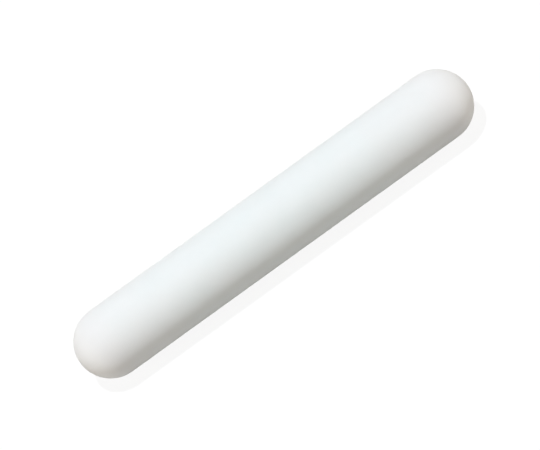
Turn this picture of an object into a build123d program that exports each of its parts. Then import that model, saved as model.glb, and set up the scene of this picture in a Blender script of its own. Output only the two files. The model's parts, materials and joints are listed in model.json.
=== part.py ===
from build123d import *

import os
from math import sqrt

# Magnetic stir bar: a cylindrical bar magnet sealed inside a seamless PTFE jacket.
# Millimetres. The bar lies along X, with its origin at the middle of the bar, on its axis.

# Jacket, outside: the 2 inch by 5/16 inch size of bar
LENGTH = 50.8
DIAMETER = 7.9375

# Jacket, inside: the PTFE round the magnet and past each end of it
SIDE_WALL = 1.2
END_WALL = 3.38

# Magnet: a ground rod with its two rims chamfered
RIM_CHAMFER = 0.35

# Gap left all round the magnet in its cavity
CLEARANCE = 0.02

# The cavity keeps the walls, and the magnet keeps its clearance in the cavity
CAVITY_LENGTH = LENGTH - 2 * END_WALL
CAVITY_DIAMETER = DIAMETER - 2 * SIDE_WALL
MAGNET_LENGTH = CAVITY_LENGTH - 2 * CLEARANCE
MAGNET_DIAMETER = CAVITY_DIAMETER - 2 * CLEARANCE

# A 45 degree chamfer that is moved out by the clearance, square to its own face, is this much wider
CAVITY_CHAMFER = RIM_CHAMFER + CLEARANCE * (2 - sqrt(2))


def turned_about_x(outline):
    """The solid swept by a closed outline, in the upper half of the XZ plane, round the bar's axis."""
    face = make_face(Plane.XZ * outline)
    return revolve(face, axis=Axis.X)


def round_ended_rod(length, diameter):
    """A cylinder that runs smoothly into a hemisphere at each end."""
    radius = diameter / 2
    tip = length / 2
    shoulder = tip - radius
    barrel_line = Line((-shoulder, radius), (shoulder, radius))
    right_end = CenterArc((shoulder, 0), radius, start_angle=90, arc_size=-90)
    left_end = CenterArc((-shoulder, 0), radius, start_angle=180, arc_size=-90)
    axis_line = Line((tip, 0), (-tip, 0))
    return turned_about_x(left_end + barrel_line + right_end + axis_line)


def chamfered_rod(length, diameter, chamfer_width):
    """A cylinder with both rims cut back at 45 degrees."""
    radius = diameter / 2
    end = length / 2
    outline = Polyline(
        (-end, 0),
        (-end, radius - chamfer_width),
        (-end + chamfer_width, radius),
        (end - chamfer_width, radius),
        (end, radius - chamfer_width),
        (end, 0),
        close=True,
    )
    return turned_about_x(outline)


def make_jacket():
    """The seamless moulding, in one piece round the magnet's closed cavity."""
    outside = round_ended_rod(LENGTH, DIAMETER)
    cavity = chamfered_rod(CAVITY_LENGTH, CAVITY_DIAMETER, CAVITY_CHAMFER)
    return outside - cavity


def make_magnet():
    """The bar magnet, which fills the cavity but for the clearance."""
    return chamfered_rod(MAGNET_LENGTH, MAGNET_DIAMETER, RIM_CHAMFER)


os.makedirs("parts", exist_ok=True)
export_step(make_jacket(), "parts/ptfe_jacket.step")
export_step(make_magnet(), "parts/bar_magnet.step")
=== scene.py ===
# Looks of a magnetic stir bar: a seamless white PTFE jacket, faintly tinted by the magnet inside it

import json
from math import cos, pi, radians, sin, sqrt

import bmesh
import bpy
from mathutils import Matrix, Vector, noise


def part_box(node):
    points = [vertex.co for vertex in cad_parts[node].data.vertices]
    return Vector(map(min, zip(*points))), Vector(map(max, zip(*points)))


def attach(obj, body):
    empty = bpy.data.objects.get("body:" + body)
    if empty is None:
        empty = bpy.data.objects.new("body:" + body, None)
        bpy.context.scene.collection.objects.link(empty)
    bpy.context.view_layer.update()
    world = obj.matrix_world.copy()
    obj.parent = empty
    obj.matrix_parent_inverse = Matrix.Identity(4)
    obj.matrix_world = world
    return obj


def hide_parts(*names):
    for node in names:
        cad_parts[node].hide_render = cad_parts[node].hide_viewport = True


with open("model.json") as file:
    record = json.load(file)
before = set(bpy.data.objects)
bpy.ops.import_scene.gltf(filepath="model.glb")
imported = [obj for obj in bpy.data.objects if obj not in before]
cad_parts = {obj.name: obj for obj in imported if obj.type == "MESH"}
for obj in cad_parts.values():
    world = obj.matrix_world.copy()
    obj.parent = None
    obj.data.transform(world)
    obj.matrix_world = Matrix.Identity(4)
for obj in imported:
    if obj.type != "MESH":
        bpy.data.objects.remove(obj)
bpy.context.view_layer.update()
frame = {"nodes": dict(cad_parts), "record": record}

# Sizes in metres. The bar lies along X with its middle at the origin, and a shoulder is where the barrel
# meets a rounded end
MM = 0.001
JACKET_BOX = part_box("ptfe_jacket")
MAGNET_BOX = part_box("bar_magnet")
RADIUS = frame["record"]["mounts"][0]["dims"]["r_mm"] * MM
HALF_LENGTH = JACKET_BOX[1].x
SHOULDER = HALF_LENGTH - RADIUS
MAGNET_END = MAGNET_BOX[1].x
MAGNET_RADIUS = MAGNET_BOX[1].z
RIM_CHAMFER = 0.35 * MM
CLEARANCE = 0.02 * MM
CAVITY_END = MAGNET_END + CLEARANCE
CAVITY_RADIUS = MAGNET_RADIUS + CLEARANCE

# A 45 degree chamfer that is moved out by the clearance, square to its own face, is this much wider
CAVITY_CHAMFER = RIM_CHAMFER + CLEARANCE * (2 - sqrt(2))

# Fineness of the jacket's mesh. A point nearer to the axis than ON_AXIS lies on it
SIDES = 144
CAVITY_SIDES = 48
BARREL_RINGS = 90
END_RINGS = 30
QUARTER_TURN = pi / 2
SHARP_ANGLE = radians(30)
ON_AXIS = 1e-9

# The jacket's faint unevenness: how deep its hollows are, and how far apart they lie
SWELL_DEPTH = 0.012 * MM
SWELL_SPACING = 9 * MM
SWELL_SEED = Vector((3.1, 7.4, 1.9))

# The span in which nearly all of a noise texture's values lie
NOISE_SPAN = (0.3, 0.7)

# PTFE away from the magnet and over its middle, and how the tint fades: (share of the magnet's half
# length, share of the tint)
PLAIN_WHITE = (0.945, 0.945, 0.945)
TINTED_WHITE = (0.878, 0.933, 0.928)
TINT_STEPS = ((0.0, 1.0), (0.52, 0.9), (0.91, 0.56), (1.07, 0.0))

# PTFE: clouds in the resin, streaks drawn along the skin, grain on it, and how far light spreads inside
CLOUD_SIZE = 2.6 * MM
CLOUD_SHADE = (0.985, 0.988, 0.99)
STREAK_WIDTH = 0.35 * MM
STREAK_STRETCH = 4
STREAK_DEPTH = 0.0015 * MM
GRAIN_SIZE = 0.09 * MM
GRAIN_DEPTH = 0.0006 * MM
PTFE_ROUGHNESS = (0.6, 0.7)
PTFE_IOR = 1.35
PTFE_GLOW = 0.05 * MM

# Magnet metal: darker and lighter blotches, and the rings that grinding leaves round it. Noise makes the
# rings where its scale across the rod is this share of its scale along it
DARK_METAL = (0.36, 0.355, 0.35)
LIGHT_METAL = (0.46, 0.46, 0.465)
BLOTCH_SIZE = 1.8 * MM
RING_WIDTH = 0.12 * MM
RING_DEPTH = 0.004 * MM
RING_SCALE_ACROSS = 0.06
METAL_ROUGHNESS = (0.36, 0.56)

# Camera, from the photograph: the bar's slope and middle there, and its length from tip to tip
PHOTO_WIDTH = 540
PHOTO_HEIGHT = 450
BAR_SLOPE = radians(35.76)
BAR_MIDDLE_PX = (273.8, 223.8)
BAR_LENGTH_PX = 476.4
CAMERA_ELEVATION = radians(45)
CLIP_START = 0.01
LENS = 135
SENSOR_WIDTH = 36

# Lamps. A level is how bright a pure white face turned to that lamp would render
LAMP_DISTANCE = 0.5
KEY_DIRECTION = (-0.028, -0.021, 0.999)
KEY_SIZE = 0.02
KEY_LEVEL = 0.726
KEY_COLOUR = (0.95, 1.0, 1.06)
WALL_SIDES = {"left": (-1, 0), "right": (1, 0), "back": (0, 1), "front": (0, -1)}
WALL_LEVELS = {"left": 0.271, "right": 0.26, "back": 0.2, "front": 0.212}
WALL_HEIGHT = radians(15)
WALL_SIZE = 0.2

# Room: its light falls from the walls' to the ceiling's over a band of heights, and it is seen as white
ROOM_COLOUR = (1.08, 1.0, 0.885)
ROOM_WALLS = 0.225
ROOM_CEILING = 0.0
ROOM_BAND = (0.3, 0.6)
ROOM_WHITE = 1.0

# Floor: its tone as it lights the object, its tone as it is seen, and the plain white laid over that. The
# white's share lets the shadow show near the object, and grows to the whole between the fade's distances
FLOOR_HALF_SIZE = 1.5
FLOOR_TONE = (0.35, 0.35, 0.35)
FLOOR_SEEN_TONE = (0.95, 0.95, 0.95)
FLOOR_WHITE = 1.05
FLOOR_WHITE_SHARE = 0.85
FLOOR_FADE = (0.1, 0.3)


class Wiring:
    """Short calls for adding nodes to one material or world."""

    def __init__(self, owner):
        self.tree = owner.node_tree

    def add(self, kind, **settings):
        node = self.tree.nodes.new(kind)
        for name, value in settings.items():
            setattr(node, name, value)
        return node

    def link(self, source, target):
        self.tree.links.new(source, target)

    def object_point(self):
        return self.add("ShaderNodeTexCoord").outputs["Object"]

    def scaled(self, point, scale):
        mapping = self.add("ShaderNodeMapping")
        mapping.inputs["Scale"].default_value = scale
        self.link(point, mapping.inputs["Vector"])
        return mapping.outputs["Vector"]

    def noise(self, point, size, detail, roughness=0.5):
        """Noise from 0 to 1 whose lumps are about that size, in metres."""
        node = self.add("ShaderNodeTexNoise")
        node.inputs["Scale"].default_value = 1 / size
        node.inputs["Detail"].default_value = detail
        node.inputs["Roughness"].default_value = roughness
        self.link(point, node.inputs["Vector"])
        return node.outputs["Fac"]

    def math(self, operation, *values):
        """The result of an operation on sockets or numbers."""
        node = self.add("ShaderNodeMath", operation=operation)
        for socket, value in zip(node.inputs, values):
            if isinstance(value, float):
                socket.default_value = value
            else:
                self.link(value, socket)
        return node.outputs["Value"]

    def remap(self, value, span, results, smooth=False):
        """Turns a value that runs over a span into one that runs from the first result to the second."""
        node = self.add("ShaderNodeMapRange")
        node.interpolation_type = "SMOOTHSTEP" if smooth else "LINEAR"
        names = ("From Min", "From Max", "To Min", "To Max")
        for name, number in zip(names, (*span, *results)):
            node.inputs[name].default_value = number
        self.link(value, node.inputs["Value"])
        return node.outputs["Result"]

    def ramp(self, value, stops):
        """A colour ramp through (place, colour) stops."""
        node = self.add("ShaderNodeValToRGB")
        elements = node.color_ramp.elements
        while len(elements) < len(stops):
            elements.new(1)
        for element, (place, colour) in zip(elements, stops):
            element.position = place
            element.color = (*colour, 1)
        self.link(value, node.inputs["Fac"])
        return node.outputs["Color"]

    def mix(self, factor, a, b, blend="MIX"):
        """Colours a and b mixed by a socket, each a socket or a plain colour."""
        node = self.add("ShaderNodeMix", data_type="RGBA", blend_type=blend)
        sockets = {s.identifier: s for s in node.inputs}
        self.link(factor, sockets["Factor_Float"])
        for name, colour in (("A_Color", a), ("B_Color", b)):
            if isinstance(colour, tuple):
                sockets[name].default_value = (*colour, 1)
            else:
                self.link(colour, sockets[name])
        return next(s for s in node.outputs if s.identifier == "Result_Color")

    def mix_shaders(self, factor, a, b):
        node = self.add("ShaderNodeMixShader")
        for socket, source in zip(node.inputs, (factor, a, b)):
            self.link(source, socket)
        return node.outputs["Shader"]

    def seen_rays(self):
        """1 for rays from the camera, a mirror or a glass, and 0 for those that light the object."""
        path = self.add("ShaderNodeLightPath")
        seen = self.math("MAXIMUM", path.outputs["Is Camera Ray"], path.outputs["Is Glossy Ray"])
        return self.math("MAXIMUM", seen, path.outputs["Is Transmission Ray"])

    def bump(self, height, distance, under=None):
        """A surface whose height, from 0 to 1, is worth that distance in metres."""
        node = self.add("ShaderNodeBump")
        node.inputs["Distance"].default_value = distance
        self.link(height, node.inputs["Height"])
        if under is not None:
            self.link(under, node.inputs["Normal"])
        return node.outputs["Normal"]


def new_material(name):
    """A material with its wiring, a Principled shader and the socket that takes its surface."""
    material = bpy.data.materials.new(name)
    material.use_nodes = True
    material.node_tree.nodes.clear()
    wires = Wiring(material)
    shader = wires.add("ShaderNodeBsdfPrincipled")
    surface = wires.add("ShaderNodeOutputMaterial").inputs["Surface"]
    wires.link(shader.outputs["BSDF"], surface)
    return material, wires, shader, surface


def ptfe_material():
    """White PTFE: waxy, hardly glossy, and cooler where the dark magnet lies under a thin wall."""
    material, wires, shader, _ = new_material("ptfe")
    point = wires.object_point()

    # The tint grows from the magnet's ends towards the middle of the bar
    split = wires.add("ShaderNodeSeparateXYZ")
    wires.link(point, split.inputs["Vector"])
    along = wires.math("ABSOLUTE", split.outputs["X"])
    along = wires.math("DIVIDE", along, HALF_LENGTH)
    stops = []
    for place, share in TINT_STEPS:
        shade = tuple(a + (b - a) * share for a, b in zip(PLAIN_WHITE, TINTED_WHITE))
        stops.append((place * MAGNET_END / HALF_LENGTH, shade))
    colour = wires.ramp(along, stops)

    # Faint clouds in the resin
    clouds = wires.remap(wires.noise(point, CLOUD_SIZE, detail=3), NOISE_SPAN, (0, 1))
    wires.link(wires.mix(clouds, colour, CLOUD_SHADE, "MULTIPLY"), shader.inputs["Base Color"])

    # A satin skin drawn a little along the bar, with a finer grain
    drawn = wires.scaled(point, (1 / STREAK_STRETCH, 1, 1))
    streaks = wires.noise(drawn, STREAK_WIDTH, detail=4, roughness=0.6)
    wires.link(wires.remap(streaks, NOISE_SPAN, PTFE_ROUGHNESS), shader.inputs["Roughness"])
    skin = wires.bump(wires.noise(point, GRAIN_SIZE, detail=2), GRAIN_DEPTH)
    skin = wires.bump(streaks, STREAK_DEPTH, under=skin)
    wires.link(skin, shader.inputs["Normal"])

    shader.inputs["IOR"].default_value = PTFE_IOR
    shader.inputs["Subsurface Weight"].default_value = 1
    shader.inputs["Subsurface Radius"].default_value = (1, 1, 1)
    shader.inputs["Subsurface Scale"].default_value = PTFE_GLOW
    return material


def alnico_material():
    """Ground magnet metal: dull grey, with fine rings from the grinding wheel."""
    material, wires, shader, _ = new_material("alnico")
    point = wires.object_point()
    blotches = wires.noise(point, BLOTCH_SIZE, detail=3)
    wires.link(wires.mix(blotches, DARK_METAL, LIGHT_METAL), shader.inputs["Base Color"])
    ringed = wires.scaled(point, (1, RING_SCALE_ACROSS, RING_SCALE_ACROSS))
    rings = wires.noise(ringed, RING_WIDTH, detail=3)
    wires.link(wires.remap(rings, NOISE_SPAN, METAL_ROUGHNESS), shader.inputs["Roughness"])
    wires.link(wires.bump(rings, RING_DEPTH), shader.inputs["Normal"])
    shader.inputs["Metallic"].default_value = 1
    return material


def jacket_outline():
    """Points of the jacket's outside from the left tip to the right one, as (along, out) pairs."""
    points = []
    for i in range(END_RINGS + 1):
        angle = pi - QUARTER_TURN * i / END_RINGS
        points.append((-SHOULDER + RADIUS * cos(angle), RADIUS * sin(angle)))
    for i in range(1, BARREL_RINGS):
        points.append((-SHOULDER + 2 * SHOULDER * i / BARREL_RINGS, RADIUS))
    for i in range(END_RINGS + 1):
        angle = QUARTER_TURN * (1 - i / END_RINGS)
        points.append((SHOULDER + RADIUS * cos(angle), RADIUS * sin(angle)))
    return points


def cavity_outline():
    """Points of the cavity, which follows the magnet and its chamfered rims, as (along, out) pairs."""
    return [
        (-CAVITY_END, 0),
        (-CAVITY_END, CAVITY_RADIUS - CAVITY_CHAMFER),
        (-CAVITY_END + CAVITY_CHAMFER, CAVITY_RADIUS),
        (CAVITY_END - CAVITY_CHAMFER, CAVITY_RADIUS),
        (CAVITY_END, CAVITY_RADIUS - CAVITY_CHAMFER),
        (CAVITY_END, 0),
    ]


def turn_about_x(mesh, outline, sides, inward=False):
    """Adds an outline, which starts and ends on the axis, turned about X. Its faces point out or inward."""
    rings = []
    for along, out in outline:
        if out < ON_AXIS:
            rings.append([mesh.verts.new((along, 0, 0))] * sides)
            continue
        angles = [2 * pi * i / sides for i in range(sides)]
        rings.append([mesh.verts.new((along, out * cos(a), out * sin(a))) for a in angles])
    for left, right in zip(rings, rings[1:]):
        for i in range(sides):
            j = (i + 1) % sides
            corners = list(dict.fromkeys([left[i], right[i], right[j], left[j]]))
            mesh.faces.new(corners if inward else corners[::-1])


def add_object(name, mesh):
    """An object made from a bmesh, which is used up."""
    data = bpy.data.meshes.new(name)
    mesh.to_mesh(data)
    mesh.free()
    piece = bpy.data.objects.new(name, data)
    bpy.context.scene.collection.objects.link(piece)
    return piece


def make_jacket():
    """The jacket as one closed body with its cavity, its outside a little uneven."""
    mesh = bmesh.new()
    turn_about_x(mesh, jacket_outline(), SIDES)
    for vertex in mesh.verts:
        centre = max(-SHOULDER, min(SHOULDER, vertex.co.x))
        out = Vector((vertex.co.x - centre, vertex.co.y, vertex.co.z))
        swell = noise.noise(vertex.co / SWELL_SPACING + SWELL_SEED)
        vertex.co -= out.normalized() * SWELL_DEPTH * ((1 - swell) / 2)
    turn_about_x(mesh, cavity_outline(), CAVITY_SIDES, inward=True)

    jacket = add_object("jacket_skin", mesh)
    jacket.data.shade_smooth()
    jacket.data.set_sharp_from_angle(angle=SHARP_ANGLE)
    jacket.data.materials.append(ptfe_material())
    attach(jacket, "root")
    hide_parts("ptfe_jacket")


def dress_magnet():
    magnet = frame["nodes"]["bar_magnet"]
    material = alnico_material()
    for slot in magnet.material_slots:
        slot.material = material


def make_floor():
    """A pale matt floor that is seen as white, but for the object's shadow."""
    mesh = bmesh.new()
    bmesh.ops.create_grid(mesh, x_segments=1, y_segments=1, size=FLOOR_HALF_SIZE)
    floor = add_object("floor", mesh)
    floor.location.z = JACKET_BOX[0].z

    material, wires, shader, surface = new_material("floor")
    seen = wires.seen_rays()
    wires.link(wires.mix(seen, FLOOR_TONE, FLOOR_SEEN_TONE), shader.inputs["Base Color"])
    shader.inputs["Roughness"].default_value = 1
    shader.inputs["Specular IOR Level"].default_value = 0
    white = wires.add("ShaderNodeEmission")
    white.inputs["Strength"].default_value = FLOOR_WHITE
    distance = wires.add("ShaderNodeVectorMath", operation="LENGTH")
    wires.link(wires.object_point(), distance.inputs["Vector"])
    share = wires.remap(distance.outputs["Value"], FLOOR_FADE, (FLOOR_WHITE_SHARE, 1))
    share = wires.math("MULTIPLY", seen, share)
    wires.link(wires.mix_shaders(share, shader.outputs["BSDF"], white.outputs["Emission"]), surface)
    floor.data.materials.append(material)


def make_world():
    """A room that is bright near the floor and dim overhead, and that is seen as white."""
    world = bpy.data.worlds.new("room")
    bpy.context.scene.world = world
    world.use_nodes = True
    world.node_tree.nodes.clear()
    wires = Wiring(world)
    height = wires.add("ShaderNodeSeparateXYZ")
    wires.link(wires.add("ShaderNodeTexCoord").outputs["Generated"], height.inputs["Vector"])
    room = wires.add("ShaderNodeBackground")
    room.inputs["Color"].default_value = (*ROOM_COLOUR, 1)
    level = wires.remap(height.outputs["Z"], ROOM_BAND, (ROOM_WALLS, ROOM_CEILING), smooth=True)
    wires.link(level, room.inputs["Strength"])
    white = wires.add("ShaderNodeBackground")
    white.inputs["Color"].default_value = (1, 1, 1, 1)
    white.inputs["Strength"].default_value = ROOM_WHITE
    backgrounds = (room.outputs["Background"], white.outputs["Background"])
    output = wires.add("ShaderNodeOutputWorld")
    wires.link(wires.mix_shaders(wires.seen_rays(), *backgrounds), output.inputs["Surface"])


def add_lamp(name, direction, size, level, colour):
    """A round lamp aimed at the object."""
    data = bpy.data.lights.new(name, "AREA")
    data.shape = "DISK"
    data.size = size
    data.energy = level * (pi * LAMP_DISTANCE) ** 2
    data.color = colour
    lamp = bpy.data.objects.new(name, data)
    towards = Vector(direction).normalized()
    lamp.location = towards * LAMP_DISTANCE
    lamp.rotation_euler = towards.to_track_quat("Z", "Y").to_euler()
    bpy.context.scene.collection.objects.link(lamp)
    return lamp


def make_lamps():
    """A small lamp almost overhead, and a low wide one on each side that leaves no highlight."""
    add_lamp("key", KEY_DIRECTION, KEY_SIZE, KEY_LEVEL, KEY_COLOUR)
    for name, (x, y) in WALL_SIDES.items():
        direction = (x * cos(WALL_HEIGHT), y * cos(WALL_HEIGHT), sin(WALL_HEIGHT))
        wall = add_lamp(name, direction, WALL_SIZE, WALL_LEVELS[name], ROOM_COLOUR)
        wall.visible_glossy = False


def make_camera():
    """Looks down at the bar square to its length, turned so that the bar rises as in the photograph."""
    along = Vector((1, 0, 0))
    view = Vector((0, cos(CAMERA_ELEVATION), -sin(CAMERA_ELEVATION)))
    above = Vector((0, sin(CAMERA_ELEVATION), cos(CAMERA_ELEVATION)))
    right = cos(BAR_SLOPE) * along - sin(BAR_SLOPE) * above
    up = sin(BAR_SLOPE) * along + cos(BAR_SLOPE) * above

    metres_per_px = 2 * HALF_LENGTH / BAR_LENGTH_PX
    distance = PHOTO_WIDTH * metres_per_px * LENS / SENSOR_WIDTH
    offset = Vector((BAR_MIDDLE_PX[0] - PHOTO_WIDTH / 2, PHOTO_HEIGHT / 2 - BAR_MIDDLE_PX[1]))
    place = -view * distance - (right * offset.x + up * offset.y) * metres_per_px

    data = bpy.data.cameras.new("camera")
    data.lens = LENS
    data.sensor_width = SENSOR_WIDTH
    data.sensor_fit = "HORIZONTAL"
    data.clip_start = CLIP_START
    camera = bpy.data.objects.new("camera", data)
    turn = Matrix((right, up, -view)).transposed().to_4x4()
    camera.matrix_world = Matrix.Translation(place) @ turn
    bpy.context.scene.collection.objects.link(camera)
    bpy.context.scene.camera = camera


make_jacket()
dress_magnet()
make_floor()
make_world()
make_lamps()
make_camera()
bpy.context.scene.view_settings.view_transform = "Standard"
